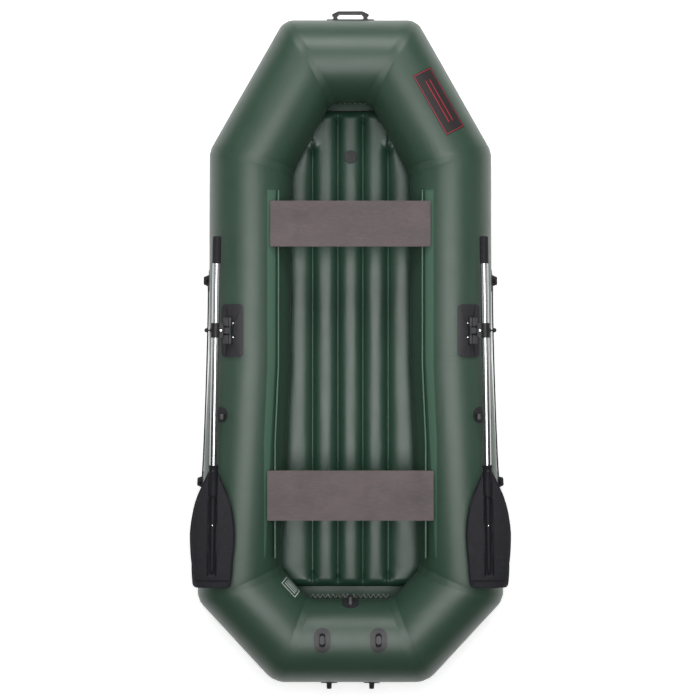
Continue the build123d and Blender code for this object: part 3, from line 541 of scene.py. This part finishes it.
def rope_route():
    """Down through the front eye, along the side in a shallow sag and up through the aft eye."""
    front, aft = (rope_in_eye(*place) for place in EYE_PLACES)
    middle = (front[1] + aft[1]) / 2
    reach = (front[1] - aft[1]) / 2
    reach *= 1 - ROPE_BEND / reach.length
    hanging = []
    for way in ROPE_STATIONS + (0.0,) + tuple(-s for s in reversed(ROPE_STATIONS)):
        point = middle + reach * way
        point.z = ROPE_LOW_Z + ROPE_RISE * way ** 2 + ROPE_HOOK * way ** 6
        hanging.append(point)
    return front + hanging + [aft[1], aft[0]]


def make_lifelines(rope):
    for label, side in SIDES:
        route = [(side * x, y, z) for x, y, z in rope_route()]
        line = tube_curve(f"lifeline_rope_{label}", route, ROPE_D / 2, rope, smooth_points=True)
        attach(line, "hull")
        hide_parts(f"lifeline_{label}")


# ---------------------------------------------------------------- oars
def on_oar(piece, label, side):
    """Turn a piece about its oarlock's bolt by the oars' splay, and let it ride its oar."""
    pivot = Matrix.Translation((side * BOLT_X, LOCK_Y, 0))
    piece.data.transform(pivot @ Matrix.Rotation(side * SPLAY, 4, "Z") @ pivot.inverted())
    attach(piece, f"oar_{label}")


def blade_half_width(y):
    """Half the blade's width, with the tip's corners rounded off."""
    width = interpolate(BLADE_OUTLINE, y)
    for (_, ya), (_, yb) in zip(BLADE_OUTLINE[1:], BLADE_OUTLINE[2:]):
        if yb <= y <= ya:
            t = (ya - y) / (ya - yb)
            width += BLADE_BULGE * t * (1 - t) * 2
    gap = y - BLADE_OUTLINE[-1][1]
    if gap < BLADE_CORNER_R:
        width -= BLADE_CORNER_R - math.sqrt(BLADE_CORNER_R ** 2 - (BLADE_CORNER_R - gap) ** 2)
    return width


def blade_point(side, u, y, face):
    """A point of the blade: u from -1 to 1 across it, face 1 for the top and -1 for the bottom."""
    half = blade_half_width(y)
    x = u * half
    sag = BLADE_SAG * u * u * min((SAG_START_Y - y) / SAG_RUN, 1)
    rim = RIM_RISE * bell((1 - abs(u)) * half - RIM_INSET, RIM_SPREAD)
    tip = y - BLADE_OUTLINE[-1][1]
    step = 0.0
    if abs(x) < half - LIP_MARGIN:
        step = LIP_STEP / (1 + math.exp(-(LIP_Y - y) / LIP_SOFTNESS))
    ridge = 0.0
    if RIB_END_Y < y < RIDGE_START_Y:
        ridge = RIDGE_RISE * bell(abs(x) - RIDGE_X, RIDGE_SPREAD)
    gutter = 0.0
    if RIB_END_Y < y < GUTTER_START_Y:
        gutter = GUTTER_DEPTH / (1 + math.exp((abs(x) - GUTTER_HALF_WIDTH) / GUTTER_SOFTNESS))
    thin = BLADE_HALF_T * (TIP_THICKNESS + (1 - TIP_THICKNESS) * min(tip / TIP_RUN, 1))
    z = OAR_Z - sag + face * (thin + rim + ridge - (step + gutter if face > 0 else 0))
    return (side * (OAR_X + x), y, z)


def make_blade(label, side, plastic, metal):
    rows = 120
    columns = 61
    first = BLADE_OUTLINE[0][1]
    last = BLADE_OUTLINE[-1][1]
    points = []
    for face in (1, -1):
        for r in range(rows):
            t = r / (rows - 1)
            y = first + (last - first) * (1 - (1 - t) ** 1.25)
            for c in range(columns):
                points.append(blade_point(side, 2 * c / (columns - 1) - 1, y, face))
    faces = plate_faces(rows, columns)
    blade = soften(mesh_piece(f"oar_blade_plate_{label}", points, faces, [plastic], weld=0.00001), 50)
    on_oar(blade, label, side)
    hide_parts(f"oar_blade_{label}")
    socket = [(0.0162, -0.4665), (0.0195, -0.466), (0.0210, -0.4675), (0.0210, -0.4725), (0.0200, -0.4740),
              (0.0190, -0.4760), (0.0190, -0.560), (0.0186, -0.586), (0.0178, -0.5935), (0.0166, -0.596),
              (0.0150, -0.5955), (0.0145, -0.588), (0.0140, -0.5765)]
    parts = [lathe_y(f"oar_socket_{label}", socket, side * OAR_X, OAR_Z, [plastic])]
    rib = []
    for step in range(25):
        t = step / 24
        swell = math.sqrt(max(1 - max(t - RIB_ROUND_FROM, 0) ** 2 / (1 - RIB_ROUND_FROM) ** 2, 0))
        rib.append((max((RIB_R - RIB_TAPER * t) * swell, RIB_LEAST_R), RIB_START_Y - RIB_LENGTH * t))
    parts.append(lathe_y(f"oar_rib_{label}", rib, side * OAR_X, OAR_Z, [plastic]))
    for part in parts:
        on_oar(part, label, side)
    top = (side * OAR_X, RIVET_Y, OAR_Z + RIVET_RISE)
    rivet = dome(f"oar_rivet_{label}", top, RIVET_R, RIVET_H, metal)
    on_oar(rivet, label, side)


def dome(name, centre, radius, height, material_used, around=32):
    """A low round head that faces up."""
    points = []
    rings = 7
    for r in range(rings):
        t = math.radians(90 * r / rings)
        for k in range(around):
            a = 2 * math.pi * k / around
            points.append((centre[0] + radius * math.cos(t) * math.cos(a),
                           centre[1] + radius * math.cos(t) * math.sin(a),
                           centre[2] + height * math.sin(t)))
    faces = grid_faces(rings, around, close_columns=True)
    faces.append(tuple((rings - 1) * around + k for k in range(around)))
    faces.append(tuple(reversed(range(around))))
    return mesh_piece(name, points, faces, [material_used])


def make_grip(label, side, foam):
    """A moulded grip with a rounded end and shallow finger rings."""
    low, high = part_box(f"oar_grip_{label}")
    length = high.y - low.y
    start = low.y + GRIP_EDGE_LENGTH
    profile = [(GRIP_BORE_R, low.y), (GRIP_R - GRIP_EDGE_R, low.y), (GRIP_R, start)]
    for step in range(1, 60):
        t = step / 60
        ring = GRIP_RING_H * math.sin(t * 2 * math.pi * GRIP_RINGS)
        profile.append((GRIP_R - GRIP_RING_SINK + ring, start + (length - GRIP_RINGED_LESS) * t))
    for degrees in range(0, 90, 10):
        a = math.radians(degrees)
        profile.append((GRIP_R - GRIP_END_R + GRIP_END_R * math.cos(a),
                        high.y - GRIP_END_R + GRIP_END_R * math.sin(a)))
    profile.append((GRIP_END_FLAT_R, high.y))
    grip = lathe_y(f"oar_grip_foam_{label}", profile, side * OAR_X, OAR_Z, [foam], around=56)
    on_oar(grip, label, side)
    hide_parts(f"oar_grip_{label}")


# ---------------------------------------------------------------- patches
def patch_point(i, along, degrees, rise):
    angle = math.radians(degrees)
    normal = -INWARD[i] * math.cos(angle) + UP * math.sin(angle)
    return AXIS[i] + ALONG[i] * along + normal * (SKIN_R + rise)


def bent_strip(i, start, length, low_deg, high_deg, low_rise, high_rise):
    """Points and faces of a thin closed strip that follows a panel's surface."""
    rows = 9
    columns = max(int((high_deg - low_deg) / 2.5), 1) + 1
    points = []
    for rise in (high_rise, low_rise):
        for r in range(rows):
            for c in range(columns):
                degrees = low_deg + (high_deg - low_deg) * c / (columns - 1)
                points.append(patch_point(i, start + length * r / (rows - 1), degrees, rise))
    return points, plate_faces(rows, columns)


def strip_piece(name, i, strips, rises, used):
    """One piece made of several strips, each (start, length, low degrees, high degrees)."""
    points = []
    faces = []
    for strip in strips:
        more_points, more_faces = bent_strip(i, *strip, *rises)
        faces += [tuple(len(points) + v for v in face) for face in more_faces]
        points += more_points
    piece = soften(mesh_piece(name, points, faces, [used]))
    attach(piece, "hull")
    return piece


def frame_strips(patch, inset_m, width_m):
    """Four strips that make a border inside a patch."""
    start, length, low, high = patch
    per_m = math.degrees(1 / SKIN_R)
    a = start + inset_m
    span = length - 2 * inset_m
    lo = low + inset_m * per_m
    hi = high - inset_m * per_m
    w = width_m * per_m
    return [(a, span, lo, lo + w), (a, span, hi - w, hi), (a, width_m, lo + w, hi - w),
            (a + span - width_m, width_m, lo + w, hi - w)]


def make_patches(black, red, plate_green, white):
    patch = strip_piece("bow_patch_base", BOW_PATCH_PANEL, [BOW_PATCH], PATCH_RISES, black)
    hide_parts("bow_patch")
    border = frame_strips(BOW_PATCH, *PATCH_BORDER)
    strip_piece("bow_patch_border", BOW_PATCH_PANEL, border, PRINT_RISES, red)
    start, length, low, high = BOW_PATCH
    middle = (low + high) / 2
    stripes = [(start + STRIPE_INSET, length - 2 * STRIPE_INSET,
                middle + offset - STRIPE_HALF_DEG, middle + offset + STRIPE_HALF_DEG)
               for offset in STRIPE_OFFSETS_DEG]
    strip_piece("bow_patch_stripes", BOW_PATCH_PANEL, stripes, PRINT_RISES, red)
    plate = strip_piece("info_plate_base", PLATE_PANEL, [PLATE], PATCH_RISES, plate_green)
    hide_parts("info_plate")
    lines = frame_strips(PLATE, *PLATE_BORDER)
    start, length, low, high = PLATE
    for share in LINE_SHARES:
        at = low + (high - low) * share
        lines.append((start + LINE_INSET, length - 2 * LINE_INSET, at - LINE_HALF_DEG, at + LINE_HALF_DEG))
    strip_piece("info_plate_lines", PLATE_PANEL, lines, PRINT_RISES, white)


# ---------------------------------------------------------------- materials
GREEN = (0.028, 0.061, 0.040)
BLACK = (0.020, 0.020, 0.023)


class Paint:
    """A node material with a few short ways to add textures to it."""

    def __init__(self, name, colour, roughness, metallic=0.0):
        self.material = bpy.data.materials.new(name)
        self.material.use_nodes = True
        self.nodes = self.material.node_tree.nodes
        self.links = self.material.node_tree.links
        self.shader = self.nodes["Principled BSDF"]
        self.colour = colour
        self.shader.inputs["Base Color"].default_value = (*colour, 1)
        self.shader.inputs["Roughness"].default_value = roughness
        self.shader.inputs["Metallic"].default_value = metallic
        self.place = self.nodes.new("ShaderNodeTexCoord").outputs["Object"]
        self.height = None

    def stretched(self, scale):
        mapping = self.nodes.new("ShaderNodeMapping")
        mapping.inputs["Scale"].default_value = scale
        self.links.new(self.place, mapping.inputs["Vector"])
        return mapping.outputs["Vector"]

    def noise(self, scale, detail=3.0, stretch=(1, 1, 1)):
        node = self.nodes.new("ShaderNodeTexNoise")
        node.inputs["Scale"].default_value = scale
        node.inputs["Detail"].default_value = detail
        self.links.new(self.stretched(stretch), node.inputs["Vector"])
        return node.outputs["Fac"]

    def wave(self, scale, axis, distortion=0.0):
        node = self.nodes.new("ShaderNodeTexWave")
        node.bands_direction = axis
        node.inputs["Scale"].default_value = scale
        node.inputs["Distortion"].default_value = distortion
        self.links.new(self.place, node.inputs["Vector"])
        return node.outputs["Fac"]

    def ramp(self, value, low, high):
        node = self.nodes.new("ShaderNodeMapRange")
        node.inputs["From Min"].default_value = low
        node.inputs["From Max"].default_value = high
        self.links.new(value, node.inputs["Value"])
        return node.outputs["Result"]

    def range(self, value, low, high):
        node = self.nodes.new("ShaderNodeMapRange")
        node.inputs["To Min"].default_value = low
        node.inputs["To Max"].default_value = high
        self.links.new(value, node.inputs["Value"])
        return node.outputs["Result"]

    def tint(self, value, colour, share=1.0):
        """Mix a colour over what is there, by a value."""
        node = self.nodes.new("ShaderNodeMix")
        node.data_type = "RGBA"
        base = self.shader.inputs["Base Color"]
        if base.is_linked:
            self.links.new(base.links[0].from_socket, node.inputs["A"])
        else:
            node.inputs["A"].default_value = base.default_value
        node.inputs["B"].default_value = (*colour, 1)
        self.links.new(self.range(value, 0, share), node.inputs["Factor"])
        self.links.new(node.outputs["Result"], base)
        return self

    def rough(self, value, low, high):
        self.links.new(self.range(value, low, high), self.shader.inputs["Roughness"])
        return self

    def bump(self, value, distance, strength=1.0):
        node = self.nodes.new("ShaderNodeBump")
        node.inputs["Distance"].default_value = distance
        node.inputs["Strength"].default_value = strength
        self.links.new(value, node.inputs["Height"])
        if self.height is not None:
            self.links.new(self.height, node.inputs["Normal"])
        self.height = node.outputs["Normal"]
        self.links.new(self.height, self.shader.inputs["Normal"])
        return self


def scaled(colour, share):
    return tuple(c * share for c in colour)


def coated_fabric(name, colour, roughness):
    """PVC-coated cloth: an even coat with a faint weave under it and slight handling marks."""
    paint = Paint(name, colour, roughness)
    paint.shader.inputs["Specular IOR Level"].default_value = 0.62
    paint.tint(paint.noise(5.0, 5), scaled(colour, 1.22), 0.55)
    paint.tint(paint.ramp(paint.noise(38.0, 4), 0.5, 0.8), scaled(colour, 0.78), 0.35)
    paint.rough(paint.noise(14.0, 4), roughness - 0.05, roughness + 0.06)
    paint.bump(paint.wave(240.0, "X"), 0.00012, 0.25)
    paint.bump(paint.wave(240.0, "Y"), 0.00012, 0.25)
    paint.bump(paint.noise(420.0, 2), 0.00025, 0.3)
    return paint


def moulded_plastic(name, colour, roughness, grain=0.0004, grain_scale=300.0, shine=0.14):
    """Moulded black plastic with a fine grain and paler scuffs."""
    paint = Paint(name, colour, roughness)
    paint.shader.inputs["Specular IOR Level"].default_value = shine
    paint.tint(paint.ramp(paint.noise(60.0, 6), 0.55, 0.8), scaled(colour, 2.0), 0.5)
    paint.rough(paint.noise(35.0, 4), roughness - 0.06, roughness + 0.1)
    paint.bump(paint.noise(grain_scale, 3), grain, 0.5)
    return paint.material


def film_plywood():
    """Plywood faced with a brown film: mottled face with a fine mesh print, layered edges."""
    film = (0.081, 0.061, 0.063)
    paint = Paint("film_plywood", film, 0.42)
    paint.shader.inputs["Specular IOR Level"].default_value = 0.30
    paint.tint(paint.ramp(paint.noise(5.0, 6, (0.6, 2.2, 1)), 0.40, 0.70), (0.112, 0.076, 0.083), 0.7)
    paint.tint(paint.ramp(paint.noise(11.0, 5), 0.52, 0.75), (0.056, 0.043, 0.049), 0.7)
    paint.tint(paint.ramp(paint.noise(140.0, 3, (0.25, 1, 1)), 0.45, 0.75), (0.137, 0.108, 0.108), 0.30)
    paint.tint(paint.ramp(paint.noise(26.0, 5), 0.62, 0.72), (0.083, 0.032, 0.040), 0.35)
    layers = paint.wave(105.0, "Z", 0.4)
    side = paint.nodes.new("ShaderNodeMath")
    side.operation = "SUBTRACT"
    side.inputs[0].default_value = 1.0
    geometry = paint.nodes.new("ShaderNodeNewGeometry")
    split = paint.nodes.new("ShaderNodeSeparateXYZ")
    paint.links.new(geometry.outputs["Normal"], split.inputs["Vector"])
    size = paint.nodes.new("ShaderNodeMath")
    size.operation = "ABSOLUTE"
    paint.links.new(split.outputs["Z"], size.inputs[0])
    paint.links.new(size.outputs[0], side.inputs[1])
    edge = paint.ramp(side.outputs[0], 0.4, 0.6)
    paint.tint(edge, (0.30, 0.205, 0.125))
    both = paint.nodes.new("ShaderNodeMath")
    both.operation = "MULTIPLY"
    paint.links.new(edge, both.inputs[0])
    paint.links.new(paint.ramp(layers, 0.45, 0.6), both.inputs[1])
    paint.tint(both.outputs[0], (0.16, 0.095, 0.055), 0.8)
    paint.bump(paint.noise(260.0, 3, (0.4, 1, 1)), 0.0003, 0.35)
    paint.rough(paint.noise(9.0, 4), 0.34, 0.52)
    return paint.material


def anodised_aluminium():
    """Bright drawn tube with fine lines along it and slight smudges."""
    paint = Paint("oar_aluminium", (0.50, 0.51, 0.52), 0.22, 1.0)
    paint.rough(paint.noise(900.0, 2, (1, 0.01, 1)), 0.18, 0.24)
    paint.bump(paint.noise(700.0, 2, (1, 0.01, 1)), 0.00006, 0.4)
    return paint.material


def bright_steel():
    paint = Paint("bright_steel", (0.78, 0.78, 0.79), 0.2, 1.0)
    paint.rough(paint.noise(120.0, 4), 0.14, 0.32)
    paint.tint(paint.ramp(paint.noise(50.0, 5), 0.6, 0.85), (0.42, 0.40, 0.38), 0.5)
    return paint.material


def braided_rope_painted_shade(name, colour, pitch):
    """Braid: two sets of slanted strands seen as fine bumps, with painted shade leaving the gaps between
    them darker.
    """
    paint = Paint(name, colour, 0.75)
    # Painted shade: the strands are tinted paler so the gaps between them stay darker
    paint.tint(paint.ramp(paint.wave(pitch, "DIAGONAL"), 0.1, 0.6), scaled(colour, 2.1), 0.6)
    paint.bump(paint.wave(pitch, "DIAGONAL", 1.0), 0.0008, 0.9)
    paint.bump(paint.wave(pitch * 1.1, "Y"), 0.0006, 0.6)
    return paint.material


def flat_print(name, colour, roughness):
    paint = Paint(name, colour, roughness)
    paint.tint(paint.ramp(paint.noise(90.0, 5), 0.5, 0.75), scaled(colour, 0.72), 0.5)
    paint.rough(paint.noise(60.0, 3), roughness - 0.05, roughness + 0.08)
    paint.bump(paint.noise(500.0, 2), 0.0002, 0.3)
    return paint.material


def rail_fabric_painted_highlight():
    """Hull cloth, with the welded bead along the top of each rail painted paler as a painted highlight."""
    paint = coated_fabric("rail_pvc", GREEN, 0.42)
    split = paint.nodes.new("ShaderNodeSeparateXYZ")
    paint.links.new(paint.place, split.inputs["Vector"])
    # Painted highlight: the cloth above the beads' height is tinted paler
    paint.tint(paint.ramp(split.outputs["Z"], RAIL_BEAD_Z - 0.002, RAIL_BEAD_Z), (0.058, 0.125, 0.085))
    return paint


def carry_over(slot_materials):
    """Give every CAD node that stays visible the material of its slot."""
    slots = {part["node"]: part["material_slot"] for part in frame["record"]["subparts"]}
    for node, piece in frame["nodes"].items():
        piece.data.materials.clear()
        piece.data.materials.append(slot_materials[slots[node]])


# ---------------------------------------------------------------- studio
# The world's strength as light, and as the camera sees it directly
AMBIENT = 0.05
BACKDROP = 1.0
FLOOR_HALF = 9.0
FLOOR_GLOW = 0.56
LENS_DEG = 28.6
CAMERA_PLACE = (-0.0017, 0.0052, 6.0)


def make_studio():
    scene = bpy.context.scene
    scene.view_settings.view_transform = "Standard"
    world = bpy.data.worlds.new("studio")
    scene.world = world
    world.use_nodes = True
    tree = world.node_tree
    sky = tree.nodes["Background"]
    sky.inputs["Color"].default_value = (1.0, 1.0, 1.0, 1)
    seen = tree.nodes.new("ShaderNodeMapRange")
    seen.inputs["To Min"].default_value = AMBIENT
    seen.inputs["To Max"].default_value = BACKDROP
    tree.links.new(tree.nodes.new("ShaderNodeLightPath").outputs["Is Camera Ray"], seen.inputs["Value"])
    tree.links.new(seen.outputs["Result"], sky.inputs["Strength"])
    corners = [(x * FLOOR_HALF, y * FLOOR_HALF, 0) for x, y in ((-1, -1), (1, -1), (1, 1), (-1, 1))]
    white = Paint("studio_floor", (0.9, 0.9, 0.9), 0.9)
    white.shader.inputs["Emission Color"].default_value = (1, 1, 1, 1)
    white.shader.inputs["Emission Strength"].default_value = FLOOR_GLOW
    floor = mesh_piece("studio_floor", corners, [(0, 1, 2, 3)], [white.material])
    lamp("overhead", (0, -0.15, 4.0), (0, -0.15, 0), (2.6, 3.2), 120)
    lamp("bow_side", (0, 3.8, 3.0), (0, 0, 0.2), (3.2, 1.6), 115)
    lamp("port_side", (-3.6, 0.4, 1.9), (0, 0, 0.2), (1.0, 3.4), 7)
    lamp("starboard_side", (3.6, 0.4, 1.9), (0, 0, 0.2), (1.0, 3.4), 7)


def lamp(name, place, target, size, watts):
    data = bpy.data.lights.new(name, "AREA")
    data.shape = "RECTANGLE"
    data.size, data.size_y = size
    data.energy = watts
    light = bpy.data.objects.new(name, data)
    light.location = place
    light.rotation_euler = (Vector(target) - Vector(place)).to_track_quat("-Z", "Y").to_euler()
    light.visible_camera = False
    bpy.context.scene.collection.objects.link(light)


def make_camera():
    """Straight above the boat, bow up. The distance is an estimate from the perspective."""
    data = bpy.data.cameras.new("camera")
    data.sensor_width = 36.0
    data.angle = math.radians(LENS_DEG)
    camera = bpy.data.objects.new("camera", data)
    camera.location = CAMERA_PLACE
    bpy.context.scene.collection.objects.link(camera)
    bpy.context.scene.camera = camera


# ---------------------------------------------------------------- assembly
paints = {
    "pvc_green": coated_fabric("pvc_green", GREEN, 0.42).material,
    # Painted shade: the bottom cloth gets a darker green than the hull's cloth, standing for the shade it
    # lies in
    "pvc_bottom": coated_fabric("pvc_bottom", (0.012, 0.022, 0.017), 0.7).material,
    "pvc_inner": coated_fabric("pvc_inner", (0.045, 0.095, 0.066), 0.6).material,
    "floor_pvc": coated_fabric("floor_pvc", (0.016, 0.048, 0.030), 0.36).material,
    "rail_pvc": rail_fabric_painted_highlight().material,
    "plywood": film_plywood(),
    "aluminium": anodised_aluminium(),
    "steel": bright_steel(),
    "black_steel": moulded_plastic("black_steel", BLACK, 0.5, 0.0001),
    "black_plastic": moulded_plastic("black_plastic", scaled(BLACK, 0.6), 0.42, 0.0002, 300.0, 0.35),
    "blade_plastic": moulded_plastic("blade_plastic", (0.015, 0.015, 0.019), 0.48, 0.0002, 500.0),
    "black_rubber": moulded_plastic("black_rubber", (0.024, 0.023, 0.027), 0.42, 0.0004, 220.0, 0.45),
    "grip_rubber": moulded_plastic("grip_rubber", (0.022, 0.022, 0.025), 0.6, 0.0006, 600.0),
    "rope_black": braided_rope_painted_shade("rope_black", (0.010, 0.010, 0.011), 130.0),
    "lace_cord": braided_rope_painted_shade("lace_cord", (0.30, 0.32, 0.30), 220.0),
    "patch_black": flat_print("patch_black", (0.018, 0.014, 0.015), 0.5),
    "plate_green": flat_print("plate_green", scaled(GREEN, 1.1), 0.45),
}
red_print = flat_print("red_print", (0.40, 0.020, 0.035), 0.45)
white_print = flat_print("white_print", (0.62, 0.68, 0.66), 0.5)

make_camera()
make_studio()
carry_over(paints)
make_lifelines(paints["rope_black"])
make_hull(paints["pvc_green"])
make_tapes(paints["pvc_green"])
make_floor(paints["floor_pvc"])
for oar_label, oar_side in SIDES:
    make_blade(oar_label, oar_side, paints["blade_plastic"], paints["steel"])
    make_grip(oar_label, oar_side, paints["grip_rubber"])
make_patches(paints["patch_black"], red_print, paints["plate_green"], white_print)
